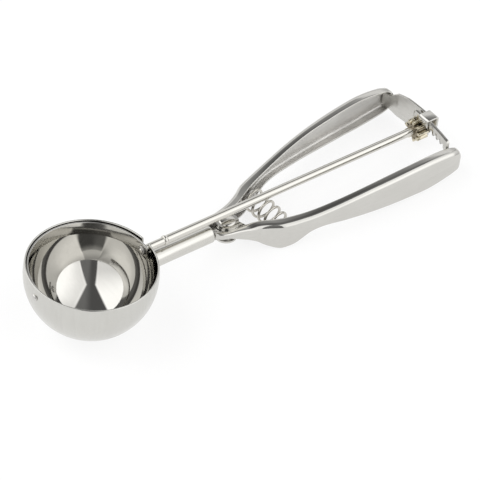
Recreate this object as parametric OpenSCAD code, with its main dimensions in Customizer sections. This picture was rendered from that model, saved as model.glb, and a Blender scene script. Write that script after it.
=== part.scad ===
// Squeeze-handle ice cream scoop in stamped stainless steel.
// The sub-parts are drawn in the tool's own frame: the origin is the centre of the ball that the
// bowl is cut from, +X runs along the drive rod towards the handle ends and +Z points out of the
// bowl. place() then lays the tool down on the plane z = 0, where the bowl and both handles touch.

/* [Bowl] */
// Outer radius of the ball that the bowl is cut from
ball_r = 30; // [28:0.5:32]
// Sheet thickness of the bowl
bowl_wall = 0.8; // [0.6:0.1:1]
// Height of the rim above the centre of the ball
rim_z = 5; // [4:0.5:6]

/* [Sweeper blade] */
// Width of the blade
blade_w = 7; // [5:0.5:8]
// Thickness of the blade
blade_t = 0.8; // [0.6:0.1:1]
// Space between the blade and the wall of the bowl
blade_gap = 0.6; // [0.5:0.1:0.8]
// Angle at which the blade rests above the level of the rod
park_angle = 2; // [0:1:4]

/* [Drive rod] */
// Outer radius of the rod tube
rod_r = 1.95; // [1.8:0.05:2.1]
// Radius of the solid spindle at the bowl end
spindle_r = 1.75; // [1.6:0.05:1.8]
// Radius of the solid cores pressed into both ends of the tube
core_r = 1.3; // [1.2:0.05:1.4]
// Position of the collar where the spindle enters the tube
collar_x = 40; // [38:1:44]

/* [Pivot] */
// Distance from the ball centre to the handle pivot
pivot_x = 75.5; // [74:0.5:77]
// Radius of the rivet's shank
rivet_r = 3; // [2.6:0.1:3.2]
// Radius of the ears on the handles
ear_r = 5.4; // [5:0.1:5.6]

/* [Handles] */
// Sheet thickness of the handles
handle_t = 1; // [0.8:0.1:1.2]
// Rear end of the handles, along the rod
handle_end_x = 190.8; // [190.5:0.1:191]

/* [Rack and pinion] */
// Gear module
gear_m = 1; // [1:0.1:1]
// Number of teeth on the pinion
pinion_teeth = 9; // [9:1:9]
// Length of the pinion
pinion_len = 6.2; // [6:0.1:6.3]
// Radius of the rack's arc round the pivot
rack_r = 112; // [112:1:112]
// Thickness of the rack
rack_t = 1.5; // [1.2:0.1:1.6]
// Radius of the end plate's arc round the pivot
plate_r = 115.4; // [115.4:0.1:115.4]
// Thickness of the end plate
plate_t = 1.2; // [1:0.1:1.2]

/* [Return spring] */
// Mean radius of the coil
coil_r = 5.1; // [5:0.1:5.2]
// Wire diameter
wire_d = 1.3; // [1.1:0.1:1.3]
// Number of turns
coil_turns = 6; // [5:1:6]

/* [Rest attitude] */
// Angle by which the rod slopes down towards the handle ends
pitch = 6.7; // [6.5:0.1:6.9]

/* [Hidden] */
round_fn = 96;
small_fn = 48;
eps = 0.01;

// middle of the whole length, which goes to x = 0 when the tool lies down
mid_x = 80.7;

// bowl
inner_r = ball_r - bowl_wall;
slot_r = spindle_r + 0.55;
pin_r = 1;
pin_head_r = 1.7;
running_gap = 0.06;

// blade
blade_out_r = inner_r - blade_gap;
blade_in_r = blade_out_r - blade_t;
blade_end_angle = asin(blade_w / 2 / blade_out_r);

// rod
shoulder_x = blade_out_r + 0.05;
tenon_tip_x = blade_in_r - 1.5;
collar_len = 1.6;
core_in_tube = 14;

// shaft tube
tube_r = 4.2;
tube_wall = 0.8;
tube_z = -8.6;
tube_end_x = 65.9;

// stack at the pivot, from the top down: the near handle's ears hold the fork's upper ear
stack_top = -5;
fit_gap = 0.05;
near_ear_top = stack_top - handle_t - fit_gap;
fork_t = 0.9;
washer_t = 0.3;
fork_top = near_ear_top - handle_t - washer_t - 2 * fit_gap;
near_ear_bottom = fork_top - fork_t - fit_gap - handle_t;
fork_gap = 2.4;
fork_bottom = fork_top - 2 * fork_t - fork_gap;
low_washer_t = 1.35;
stack_bottom = fork_bottom - low_washer_t - 2 * fit_gap - handle_t;
fork_half_w = 2;
fork_ear_r = 4.6;
fork_front_x = 52;
fork_wide_x = 67;

// gear train
pitch_r = gear_m * pinion_teeth / 2;
pinion_tip_r = pitch_r + gear_m;
pinion_root_r = pitch_r - 1.3 * gear_m;
base_r = pitch_r * cos(20);
pinion_x = 183.3;
pinion_backlash = 0.1;
rack_backlash = 0.2;
rack_add = 0.6;
rack_ded = 1.4;
rack_tip_z = pitch_r - rack_add;
rack_root_z = pitch_r + rack_ded;
rack_top_z = 8.7;
rack_step = gear_m * 180 / rack_r;
squeeze_angle = (180 + 2 * park_angle) * pitch_r / rack_r;

// spring
spring_x = 99.3;
spring_z = -11.3;
seat_r = 3.6;
seat_tip_y = 11.2;
coil_half_len = 13.6;
wire_bend = 0.7;
wire_foot = 0.2;
rings_per_curl = 8;
wire_sides = 6;

// Handles in stations along the rod: [x, outer face, inner lip, top, bottom, top corner's radius,
// bottom corner's radius]. The far handle is the near one's mirror image behind the neck.
near_neck = [
    [66.3, 3.4, 1.7, near_ear_top, near_ear_bottom, 0.7, 0.9],
    [67.4, 4.9, 2.6, near_ear_top, near_ear_bottom, 0.7, 0.9],
    [69.2, 6.3, 3.4, near_ear_top, near_ear_bottom, 0.7, 1.0],
    [72.0, 7.3, 4.0, near_ear_top, near_ear_bottom, 0.8, 1.2],
    [76.0, 8.1, 4.8, near_ear_top, near_ear_bottom - 1.6, 0.9, 1.4],
    [79.0, 8.9, 5.1, near_ear_top, -12.2, 1.0, 1.6],
    [82.0, 9.9, 5.7, near_ear_top, -13.3, 1.3, 1.8],
    [86.0, 11.4, 6.9, -5.35, -15.1, 2.1, 1.8],
    [90.0, 13.5, 8.5, -5.0, -17.5, 2.4, 1.5]
];
far_neck = [
    [64.0, 5.6, 3.6, stack_top, stack_bottom, 1.4, 1.4],
    [72.0, 7.2, 4.0, stack_top, stack_bottom, 1.5, 1.5],
    [79.0, 8.8, 4.9, stack_top, stack_bottom, 1.7, 1.7],
    [84.0, 10.5, 6.1, -5.1, -15.3, 1.9, 1.9],
    [90.0, 13.5, 8.5, -5.0, -17.6, 2.2, 1.6]
];
grip = [
    [95.0, 16.6, 11.0, -4.7, -19.0, 2.4, 1.4],
    [98.5, 17.9, 12.5, -4.4, -18.5, 2.5, 1.5],
    [102.0, 18.9, 13.8, -4.0, -17.5, 2.5, 1.8],
    [109.0, 20.7, 15.9, -3.0, -12.9, 2.5, 2.3],
    [116.0, 22.2, 17.6, -1.6, -11.4, 2.5, 2.5],
    [126.0, 24.1, 19.6, 0.6, -11.5, 2.6, 2.6],
    [138.0, 25.9, 21.3, 3.0, -11.5, 2.7, 2.7],
    [150.0, 27.3, 22.3, 4.8, -11.2, 2.8, 2.8],
    [162.0, 28.2, 23.1, 6.3, -10.6, 2.8, 2.8],
    [172.0, 28.7, 23.4, 7.0, -9.9, 2.8, 2.8],
    [184.0, 28.6, 23.2, 6.3, -7.6, 2.8, 2.8],
    [handle_end_x, 28.0, 23.6, 4.4, -6.1, 2.8, 2.8]
];
near_stations = concat(near_neck, grip);
far_stations = concat(far_neck, grip);
handle_steps = 44;
corner_steps = 4;

function lerp(a, b, t) = a + (b - a) * t;

// Value of column k of a station table at position x, on a smooth cubic through the stations.
function span_of(table, x, i = 1) = (i >= len(table) - 1 || x < table[i][0]) ? i : span_of(table, x, i + 1);
function slope_at(table, k, i) =
    let (a = table[max(i - 1, 0)], b = table[min(i + 1, len(table) - 1)]) (b[k] - a[k]) / (b[0] - a[0]);
function along(table, k, x) =
    let (i = span_of(table, x), a = table[i - 1], b = table[i], h = b[0] - a[0], t = (x - a[0]) / h)
    (1 + 2 * t) * (1 - t) * (1 - t) * a[k] + t * t * (3 - 2 * t) * b[k]
    + h * t * (1 - t) * ((1 - t) * slope_at(table, k, i - 1) - t * slope_at(table, k, i));

// One cross-section of the channel: outside from the top lip round to the bottom lip, then the
// inside back again. r and rb are the radii of its top and bottom corners.
function channel_ring(out_y, lip_y, top, bottom, r, rb, x) =
    let (ri = max(r - handle_t, 0.3), c = ri + handle_t, rj = max(rb - handle_t, 0.3), d = rj + handle_t)
    let (turn = [for (i = [0:corner_steps]) 90 * i / corner_steps])
    concat(
        [[x, lip_y, top]],
        [for (a = turn) [x, out_y - r + r * sin(a), top - r + r * cos(a)]],
        [for (a = turn) [x, out_y - rb + rb * cos(a), bottom + rb - rb * sin(a)]],
        [[x, lip_y, bottom]],
        [[x, lip_y, bottom + handle_t]],
        [for (a = turn) [x, out_y - d + rj * sin(a), bottom + d - rj * cos(a)]],
        [for (a = turn) [x, out_y - c + ri * cos(a), top - c + ri * sin(a)]],
        [[x, lip_y, top - handle_t]]
    );

// Closed skin over a list of rings with the same number of points.
module skin(rings) {
    n = len(rings[0]);
    last = len(rings) - 1;
    points = [for (ring = rings) for (p = ring) p];
    sides = [for (i = [0:last - 1]) for (j = [0:n - 1])
        let (a = i * n + j, b = i * n + (j + 1) % n)
        each [[a, b, b + n], [a, b + n, a + n]]];
    polyhedron(points = points, faces = concat(sides, end_faces(rings[0], 0, false),
        end_faces(rings[last], last * n, true)), convexity = 6);
}

// A ring of a channel is closed with strips between its outside and its inside.
function end_faces(ring, first, back) =
    let (n = len(ring), half = n / 2)
    [for (j = [0:half - 2]) each flip([
        [first + j, first + n - 2 - j, first + j + 1],
        [first + j, first + n - 1 - j, first + n - 2 - j]], back)];
function flip(faces, back) = [for (f = faces) back ? [f[2], f[1], f[0]] : f];

module place() {
    translate([-mid_x, 0, ball_r]) rotate([0, pitch, 0]) children();
}

module rod_cylinder(x0, x1, r, fn = small_fn) {
    translate([x0, 0, 0]) rotate([0, 90, 0]) cylinder(h = x1 - x0, r = r, $fn = fn);
}

module pivot_cylinder(z0, z1, r) {
    translate([pivot_x, 0, z0]) cylinder(h = z1 - z0, r = r, $fn = small_fn);
}

// Bowl: three fifths of a ball, with an open slot for the rod and a hole for the front pin.
module bowl() {
    color("gainsboro") place() difference() {
        sphere(r = ball_r, $fn = round_fn);
        sphere(r = inner_r, $fn = round_fn);
        translate([-ball_r - 5, -ball_r - 5, rim_z]) cube([2 * ball_r + 10, 2 * ball_r + 10, ball_r]);
        rod_cylinder(ball_r / 2, ball_r + 5, slot_r);
        translate([ball_r / 2, -slot_r, 0]) cube([ball_r, 2 * slot_r, ball_r]);
        rod_cylinder(-ball_r - 5, -ball_r / 2, pin_r);
    }
}

// Bead of braze where the shaft tube meets the bowl.
module bowl_weld() {
    color("silver") place() difference() {
        intersection() {
            sphere(r = ball_r + 0.9, $fn = round_fn);
            translate([20, 0, tube_z]) rotate([0, 90, 0]) cylinder(h = 20, r = tube_r + 0.8, $fn = small_fn);
        }
        sphere(r = ball_r, $fn = round_fn);
        translate([10, 0, tube_z]) rotate([0, 90, 0]) cylinder(h = 30, r = tube_r, $fn = small_fn);
    }
}

// Rivet at the front of the bowl, on which the blade turns.
module front_pin() {
    head_x = -ball_r;
    tail_x = -blade_in_r + 0.1;
    color("lightgray") place() {
        rod_cylinder(head_x, tail_x, pin_r);
        intersection() {
            translate([head_x + 0.9, 0, 0]) sphere(r = 2.1, $fn = small_fn);
            rod_cylinder(head_x - 1.2, head_x, pin_head_r);
        }
        rod_cylinder(tail_x, tail_x + 0.7, pin_head_r);
    }
}

// Washer that keeps the blade off the wall of the bowl.
module front_washer() {
    x0 = -inner_r + 0.2;
    color("silver") place() difference() {
        rod_cylinder(x0, -blade_out_r - fit_gap, 2.4);
        rod_cylinder(x0 - 1, -blade_in_r, pin_r);
    }
}

// Rolled tube under the rod, from the bowl to the pivot.
module shaft_tube() {
    color("gainsboro") place() difference() {
        translate([20, 0, tube_z]) rotate([0, 90, 0])
            cylinder(h = tube_end_x - 20, r = tube_r, $fn = small_fn);
        translate([10, 0, tube_z]) rotate([0, 90, 0])
            cylinder(h = tube_end_x, r = tube_r - tube_wall, $fn = small_fn);
        sphere(r = ball_r, $fn = round_fn);
    }
}

// Outline of one fork plate, seen from above.
module fork_outline() {
    union() {
        translate([pivot_x, 0]) circle(r = fork_ear_r, $fn = small_fn);
        polygon([[fork_front_x, -fork_half_w], [fork_wide_x, -fork_half_w],
            [pivot_x - 1.5, -fork_ear_r + 0.3], [pivot_x - 1.5, fork_ear_r - 0.3],
            [fork_wide_x, fork_half_w], [fork_front_x, fork_half_w]]);
    }
}

// Folded fork in the end of the tube: its two ears carry the handles' rivet.
module pivot_fork() {
    color("silver") place() difference() {
        union() {
            translate([0, 0, fork_top - fork_t]) linear_extrude(fork_t) fork_outline();
            translate([0, 0, fork_bottom]) linear_extrude(fork_t) fork_outline();
            translate([fork_front_x, -fork_half_w, fork_bottom])
                cube([fork_t, 2 * fork_half_w, fork_top - fork_bottom]);
        }
        pivot_cylinder(fork_bottom - 1, fork_top + 1, rivet_r);
        fork_room();
    }
}

// Wall of the tube, which takes the corners off the part of the fork that is pushed into it.
module fork_room() {
    len = tube_end_x - fork_front_x + 1.3;
    translate([fork_front_x - 1, 0, tube_z]) rotate([0, 90, 0]) difference() {
        cylinder(h = len, r = tube_r + 1, $fn = small_fn);
        translate([0, 0, -1]) cylinder(h = len + 2, r = tube_r - tube_wall - 0.06, $fn = small_fn);
    }
}

// Rivet through the ears, with a domed head at both ends.
module pivot_rivet() {
    color("whitesmoke") place() translate([pivot_x, 0, 0]) rotate_extrude($fn = small_fn) polygon([
        [0, stack_bottom - 1.1], [2.4, stack_bottom - 0.9], [3.6, stack_bottom - 0.4], [3.8, stack_bottom],
        [rivet_r, stack_bottom], [rivet_r, stack_top], [4, stack_top], [3.9, stack_top + 0.3],
        [3.2, stack_top + 0.6], [1.8, stack_top + 0.85], [0, stack_top + 0.95]]);
}

// Sleeve between the near handle's lower ear and the fork's lower ear.
module pivot_spacer() {
    color("silver") place() difference() {
        pivot_cylinder(fork_bottom + fork_t, near_ear_bottom - fit_gap, rivet_r + 1);
        pivot_cylinder(fork_bottom, fork_top, rivet_r);
    }
}

// A thin washer on the fork, and a thick one between the fork and the far handle's lower ear.
module pivot_washers() {
    color("lightgray") place() for (z = [[fork_top, washer_t], [fork_bottom - low_washer_t, low_washer_t]])
        difference() {
            pivot_cylinder(z[0], z[0] + z[1], rivet_r + 1.4);
            pivot_cylinder(z[0] - 1, z[0] + z[1] + 1, rivet_r);
        }
}

// The necks stay within the ears' levels up to here, so that they clear each other.
neck_flat_x = 76;

// Positions of the channel's sections, which lie closer together near both ends.
function handle_x(i, first, last) =
    let (t = i / handle_steps) lerp(first, last, t - 0.6 * sin(360 * t) / (2 * PI));

// The last stretch of the channel is drawn in along a quarter circle.
function end_pull(x) =
    let (r = 2.2, d = x - (handle_end_x - r))
    d <= 0 ? 0 : r - sqrt(max(r * r - d * d, 0.2));

module handle_channel(side, table) {
    mirror([0, side < 0 ? 1 : 0, 0]) skin([for (i = [0:handle_steps])
        let (x = handle_x(i, table[0][0], handle_end_x - 0.2), pull = end_pull(x))
        let (top = max(along(table, 3, x), table[0][3]), bottom = along(table, 4, x))
        channel_ring(along(table, 1, x) - pull, along(table, 2, x), top - pull,
            (x < neck_flat_x ? min(bottom, table[0][4]) : bottom) + pull,
            along(table, 5, x), along(table, 6, x), x)]);
}

// Wall that closes the rear end of a handle.
module handle_end_wall(side) {
    x = handle_end_x - 1;
    pull = 0.5;
    r = 2;
    out_y = along(near_stations, 1, x) - pull;
    lip_y = along(near_stations, 2, x);
    top = along(near_stations, 3, x) - pull;
    bottom = along(near_stations, 4, x) + pull;
    mirror([0, side < 0 ? 1 : 0, 0]) translate([x, 0, 0]) rotate([90, 0, 90]) linear_extrude(1) union() {
        translate([lip_y, bottom]) square([out_y - lip_y - r, top - bottom]);
        translate([lip_y, bottom + r]) square([out_y - lip_y, top - bottom - 2 * r]);
        for (z = [bottom + r, top - r]) translate([out_y - r, z]) circle(r = r, $fn = small_fn);
    }
}

// Round ear with its root, which reaches to the channel's flange between two positions.
module ear(side, z, root_x) {
    mirror([0, side < 0 ? 1 : 0, 0]) translate([0, 0, z]) linear_extrude(handle_t) union() {
        translate([pivot_x, 0]) circle(r = ear_r, $fn = small_fn);
        polygon([[pivot_x - 4.8, 2.4], [pivot_x - 6.2, 4.4], [root_x - 2, 6.2], [root_x, 6.4],
            [min(root_x, pivot_x + 4.9), 2.2]]);
    }
}

module near_handle() {
    color("lightgray") place() difference() {
        union() {
            handle_channel(-1, near_stations);
            handle_end_wall(-1);
            ear(-1, near_ear_top - handle_t, pivot_x + 6.5);
            ear(-1, near_ear_bottom, pivot_x + 0.5);
        }
        pivot_cylinder(stack_bottom - 1, stack_top + 1, rivet_r + running_gap);
    }
}

module far_handle() {
    color("silver") place() difference() {
        union() {
            handle_channel(1, far_stations);
            handle_end_wall(1);
            ear(1, stack_top - handle_t, pivot_x + 6.5);
            ear(1, stack_bottom, pivot_x + 6.5);
        }
        pivot_cylinder(stack_bottom - 1, stack_top + 1, rivet_r);
    }
}

// Weld block between the end of the tube and the far handle's neck, which holds that handle still.
module neck_weld() {
    color("silver") place() difference() {
        translate([59, 2.6, tube_z - 2.4]) cube([9.5, 3, 4.2]);
        translate([20, 0, tube_z]) rotate([0, 90, 0])
            cylinder(h = tube_end_x - 20, r = tube_r, $fn = small_fn);
        translate([50, -5, tube_z - 5]) cube([30, 8.15, 10]);
        far_neck_room();
    }
}

// Space that the far handle's neck takes up.
module far_neck_room() {
    translate([64 - eps, 0, 0]) rotate([0, 0, atan2(1.6, 8)]) translate([-2, 4.48, -20]) cube([20, 5, 25]);
}

// Stud inside a handle, which the spring fits over. Its foot lies on the slanted web.
module spring_seat(side) {
    web_y = along(near_stations, 1, spring_x) - handle_t;
    slope = atan2(along(near_stations, 1, spring_x + 3) - along(near_stations, 1, spring_x - 3), 6);
    mirror([0, side < 0 ? 1 : 0, 0]) difference() {
        translate([spring_x, 0, spring_z]) rotate([-90, 0, 0]) union() {
            translate([0, 0, seat_tip_y]) cylinder(h = 8, r = seat_r - 0.3, $fn = small_fn);
            translate([0, 0, seat_tip_y + 0.5]) cylinder(h = 8, r = seat_r, $fn = small_fn);
        }
        translate([spring_x, web_y - 0.42, spring_z]) rotate([0, 0, slope])
            translate([-15, 0, -10]) cube([30, 15, 20]);
    }
}

module near_spring_seat() {
    color("silver") place() spring_seat(-1);
}

module far_spring_seat() {
    color("silver") place() spring_seat(1);
}

// Route of the spring's wire: a helix whose ends bend outwards and run straight to the webs.
function coil_point(turn) =
    [spring_x - coil_r * cos(360 * turn), lerp(-coil_half_len, coil_half_len, turn / coil_turns),
        spring_z + coil_r * sin(360 * turn)];
function bend_point(angle, foot) =
    [0, wire_bend * (1 - cos(angle)) + foot, wire_bend * sin(angle)];
coil_route = concat(
    [coil_point(0) - bend_point(90, wire_foot)],
    [for (angle = [90:-30:30]) coil_point(0) - bend_point(angle, 0)],
    [for (i = [0:coil_turns * rings_per_curl]) coil_point(i / rings_per_curl)],
    [for (angle = [30:30:90]) coil_point(coil_turns) + bend_point(angle, 0)],
    [coil_point(coil_turns) + bend_point(90, wire_foot)]
);
function unit(v) = v / norm(v);
function wire_ring(i) =
    let (n = len(coil_route), p = coil_route[i])
    let (before = (i == 1 || i == 0) ? coil_route[0] : coil_route[i - 1])
    let (after = (i >= n - 2) ? coil_route[n - 1] : coil_route[i + 1])
    let (t = unit(after - before))
    let (out = unit([p[0] - spring_x, 0, p[2] - spring_z]))
    let (u = unit(cross(t, out)), v = cross(u, t))
    [for (k = [0:wire_sides - 1]) let (a = 360 * k / wire_sides) p + wire_d / 2 * (cos(a) * v + sin(a) * u)];

module wire_skin(rings) {
    n = len(rings[0]);
    last = len(rings) - 1;
    points = [for (ring = rings) for (p = ring) p];
    sides = [for (i = [0:last - 1]) for (j = [0:n - 1])
        let (a = i * n + j, b = i * n + (j + 1) % n)
        each [[a, b, b + n], [a, b + n, a + n]]];
    front = [for (j = [1:n - 2]) [0, j + 1, j]];
    back = [for (j = [1:n - 2]) [last * n, last * n + j, last * n + j + 1]];
    polyhedron(points = points, faces = concat(sides, front, back), convexity = 10);
}

// Compression spring that opens the handles.
module return_spring() {
    color("gray") place() wire_skin([for (i = [0:len(coil_route) - 1]) wire_ring(i)]);
}
own_gap = min([for (i = [0:len(coil_route) - 1]) for (j = [i + 5:1:len(coil_route) - 1])
    norm(coil_route[i] - coil_route[j])]) - wire_d;
echo(least_gap_between_turns = own_gap);

// Part of a flat ring round the pivot, between two angles and two heights.
module arc_band(mean_r, t, from_angle, to_angle, z0, z1) {
    translate([pivot_x, 0, 0]) rotate([0, 0, from_angle])
        rotate_extrude(angle = to_angle - from_angle, $fn = 360)
            translate([mean_r - t / 2, z0]) square([t, z1 - z0]);
}

// Plate that closes the far handle's end and carries the tail of the rod.
module end_plate() {
    color("silver") place() difference() {
        intersection() {
            arc_band(plate_r, plate_t, -4, 15, -8, 8);
            translate([pivot_x + 100, 0, 0]) rotate([90, 0, 90]) linear_extrude(30) polygon([
                [-3.2, -3.6], [-3.2, 7.9], [12, 7.9], [18.5, 6.6], [22.6, 3.1], [26.6, 2.7],
                [26.6, -4.2], [22.6, -4.6], [17, -6], [1.5, -6]]);
        }
        rod_cylinder(pivot_x + 100, pivot_x + 130, core_r + running_gap);
    }
}

// Bent clip on the end plate: it reaches over the rack and keeps it in mesh.
clip_t = 0.9;
clip_front_x = 185.4;
clip_back_x = pivot_x + plate_r + plate_t / 2 + 0.1 + clip_t;
clip_top_z = 9.9;
clip_near_y = -7;
clip_far_y = -0.8;

module clip_profile() {
    difference() {
        union() {
            translate([clip_front_x, 5.9]) square([clip_t, clip_top_z - 5.9 - 1.4]);
            translate([clip_front_x + 1.4, clip_top_z - clip_t])
                square([clip_back_x - clip_front_x - 2.8, clip_t]);
            translate([clip_back_x - clip_t, 2.6]) square([clip_t, clip_top_z - 2.6 - 1.4]);
            for (x = [clip_front_x + 1.4, clip_back_x - 1.4])
                translate([x, clip_top_z - 1.4]) circle(r = 1.4, $fn = small_fn);
        }
        translate([clip_front_x + clip_t, 0])
            square([clip_back_x - clip_front_x - 2 * clip_t, clip_top_z - clip_t]);
    }
}

module keeper_clip() {
    color("gainsboro") place() difference() {
        union() {
            translate([0, clip_far_y, 0]) rotate([90, 0, 0])
                linear_extrude(clip_far_y - clip_near_y) clip_profile();
            translate([clip_back_x - clip_t, -3.2, -3]) cube([clip_t, 6.2, 6]);
        }
        rod_cylinder(clip_back_x - 3, clip_back_x + 3, core_r + 0.2);
    }
}

// Gap between two teeth of the rack, seen along the pivot's radius.
module rack_gap() {
    tooth = gear_m * PI / 2 - rack_backlash;
    half_at_pitch = (gear_m * PI - tooth) / 2;
    half_at_root = half_at_pitch - rack_ded * tan(20);
    half_below = half_at_pitch + (rack_add + 0.6) * tan(20);
    polygon([[-half_below, rack_tip_z - 0.6], [-half_at_root, rack_root_z],
        [half_at_root, rack_root_z], [half_below, rack_tip_z - 0.6]]);
}

// Toothed band on the near handle. Its teeth point down on to the pinion, and its leg reaches into
// the handle's channel.
rack_free_y = 4.1;
rack_foot_y = 26.2;
module rack_outline() {
    polygon([[-27, -5], [-22.3, -5], [-21.3, -4], [-21.3, 2.6], [-19.6, rack_tip_z],
        [rack_free_y, rack_tip_z], [rack_free_y, rack_top_z - 0.8], [rack_free_y - 0.8, rack_top_z],
        [-21.5, rack_top_z], [-22.3, rack_top_z - 0.8], [-22.3, 4.8], [-27, 4.8]]);
}

module rack() {
    color("silver") place() difference() {
        intersection() {
            arc_band(rack_r, rack_t, -asin(rack_foot_y / rack_r), 5, -8, 12);
            translate([pivot_x + 100, 0, 0]) rotate([90, 0, 90]) linear_extrude(30) rack_outline();
        }
        for (i = [-6:1]) translate([pivot_x, 0, 0]) rotate([0, 0, i * rack_step])
            translate([rack_r - 4, 0, 0]) rotate([90, 0, 90]) linear_extrude(8) rack_gap();
    }
}

// Folded foot of the rack, welded inside the near handle.
module rack_foot() {
    color("silver") place() translate([pivot_x, 0, 0]) rotate([0, 0, -asin(rack_foot_y / rack_r)])
        translate([rack_r - rack_t / 2 - 5.5, -1.05, -4.6]) cube([5.5 + rack_t, 1, 8.4]);
}

// Thin tube from the collar to the pinion.
module drive_rod() {
    color("gainsboro") place() difference() {
        rod_cylinder(collar_x + collar_len / 2, pinion_x + pinion_len, rod_r);
        rod_cylinder(collar_x - 5, pinion_x + pinion_len + 5, core_r);
    }
}

// Solid spindle through the bowl's slot; its tenon carries the blade.
module front_spindle() {
    color("lightgray") place() {
        rod_cylinder(tenon_tip_x, shoulder_x, core_r);
        rod_cylinder(shoulder_x, collar_x + collar_len / 2, spindle_r);
        rod_cylinder(collar_x, collar_x + core_in_tube, core_r);
    }
}

// Solid tail, which turns in the end plate and is peened over behind it.
module tail_spindle() {
    tail_x = clip_back_x + 0.2;
    color("lightgray") place() {
        rod_cylinder(pinion_x + pinion_len - core_in_tube, tail_x, core_r);
        rod_cylinder(tail_x, tail_x + 0.8, core_r + 0.6);
    }
}

// Crimped collar where the tube grips the spindle.
module rod_collar() {
    color("gainsboro") place() difference() {
        intersection() {
            rod_cylinder(collar_x - collar_len / 2, collar_x + collar_len / 2, rod_r + 0.35);
            translate([collar_x, 0, 0]) sphere(r = rod_r + 0.6, $fn = small_fn);
        }
        rod_cylinder(collar_x - 2, collar_x + 2, spindle_r);
    }
}

// Involute flank: angle from the tooth's middle line at radius r.
function inv(a) = tan(a) * 180 / PI - a;
function flank_angle(r) =
    let (half = (gear_m * PI / 2 - pinion_backlash) / 2 / pitch_r * 180 / PI)
    half + inv(20) - inv(acos(min(base_r / max(r, base_r), 1)));
function polar(r, a) = [r * sin(a), r * cos(a)];
flank_steps = 4;
function flank_r(i) = lerp(base_r, pinion_tip_r, i / flank_steps);
function tooth_points(k) =
    let (mid = 360 * k / pinion_teeth)
    concat(
        [polar(pinion_root_r, mid - flank_angle(base_r) - 1)],
        [for (i = [0:flank_steps]) let (r = flank_r(i)) polar(r, mid - flank_angle(r))],
        [for (i = [flank_steps:-1:0]) let (r = flank_r(i)) polar(r, mid + flank_angle(r))],
        [polar(pinion_root_r, mid + flank_angle(base_r) + 1)]
    );

// Pinion pressed on the rod, with one tooth at the top when the handles are open.
module pinion() {
    color("wheat") place() difference() {
        translate([pinion_x, 0, 0]) rotate([90, 0, 90]) linear_extrude(pinion_len)
            polygon([for (k = [0:pinion_teeth - 1]) each tooth_points(k)]);
        rod_cylinder(pinion_x - 1, pinion_x + pinion_len + 1, rod_r);
    }
}

// Half ring that sweeps the bowl. Its square ends reach past the rod's axis.
module sweeper_blade() {
    color("whitesmoke") place() rotate([park_angle, 0, 0]) difference() {
        rotate([0, 0, -blade_end_angle]) rotate_extrude(angle = 180 + 2 * blade_end_angle, $fn = 180)
            translate([blade_in_r, -blade_w / 2]) square([blade_t, blade_w]);
        rod_cylinder(-ball_r, -ball_r / 2, pin_r + running_gap);
        rod_cylinder(ball_r / 2, ball_r, core_r);
    }
}

// Washer that the spindle's tenon is peened over, inside the blade.
module blade_washer() {
    color("silver") place() difference() {
        rod_cylinder(blade_in_r - 1.1, blade_in_r - 0.15, 2.2);
        rod_cylinder(blade_in_r - 3, blade_in_r + 1, core_r);
    }
}

bowl();
bowl_weld();
front_pin();
front_washer();
shaft_tube();
pivot_fork();
neck_weld();
pivot_rivet();
pivot_spacer();
pivot_washers();
far_handle();
far_spring_seat();
end_plate();
keeper_clip();
return_spring();
near_handle();
near_spring_seat();
rack();
rack_foot();
drive_rod();
front_spindle();
tail_spindle();
rod_collar();
pinion();
sweeper_blade();
blade_washer();
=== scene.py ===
import bpy, bmesh
from math import acos, asin, ceil, cos, pi, radians, sin, sqrt, tan
from mathutils import Matrix, Vector


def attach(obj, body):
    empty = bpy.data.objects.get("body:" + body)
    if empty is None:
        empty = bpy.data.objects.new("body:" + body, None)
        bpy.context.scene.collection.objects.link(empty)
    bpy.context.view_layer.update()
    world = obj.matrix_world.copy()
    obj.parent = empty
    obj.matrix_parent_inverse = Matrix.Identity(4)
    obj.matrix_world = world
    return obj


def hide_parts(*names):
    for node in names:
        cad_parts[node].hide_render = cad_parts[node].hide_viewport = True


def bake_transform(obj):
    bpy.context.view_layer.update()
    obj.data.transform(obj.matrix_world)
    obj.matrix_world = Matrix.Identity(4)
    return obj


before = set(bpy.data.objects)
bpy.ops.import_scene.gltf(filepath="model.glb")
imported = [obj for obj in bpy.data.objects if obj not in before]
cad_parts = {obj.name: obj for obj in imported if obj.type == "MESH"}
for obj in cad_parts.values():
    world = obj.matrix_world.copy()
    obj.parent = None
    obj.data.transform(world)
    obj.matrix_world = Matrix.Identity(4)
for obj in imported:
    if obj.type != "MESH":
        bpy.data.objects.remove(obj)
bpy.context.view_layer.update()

# ---- Bowl ------------------------------------------------------------------------------------
# The bowl is a ball pressed from 0.8 mm stainless sheet and cut just above its middle, with an
# open slot in the rim for the rod. It is buffed to a mirror inside and to a soft gloss outside.
TILT = radians(6.7)
MIDDLE_X = 80.7
BALL_R = 30.0
BOWL_WALL = 0.8
INNER_R = BALL_R - BOWL_WALL
RIM_Z = 5.0
SLOT_R = 2.3
SLOT_TOP_Z = 9.0
POLE_R = 0.02


def lay(point):
    """Where a point of the scoop's own frame lies on the table, in metres. That frame is in mm,
    with the ball's centre as its origin and +X along the rod."""
    x, y, z = point
    return Vector((x * cos(TILT) + z * sin(TILT) - MIDDLE_X, y,
                   z * cos(TILT) - x * sin(TILT) + BALL_R)) / 1000


class Reading:
    """A number that changes over a surface. Sums on it add Math nodes to its nodes."""

    def __init__(self, owner, socket):
        self.owner, self.socket = owner, socket

    def sum(self, operation, first, second=0.0):
        return self.owner.node("ShaderNodeMath", {"operation": operation}, {0: first, 1: second})

    def __add__(self, other):
        return self.sum("ADD", self, other)

    def __sub__(self, other):
        return self.sum("SUBTRACT", self, other)

    def __rsub__(self, other):
        return self.sum("SUBTRACT", other, self)

    def __mul__(self, other):
        return self.sum("MULTIPLY", self, other)

    def __truediv__(self, other):
        return self.sum("DIVIDE", self, other)

    __radd__ = __add__
    __rmul__ = __mul__


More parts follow.
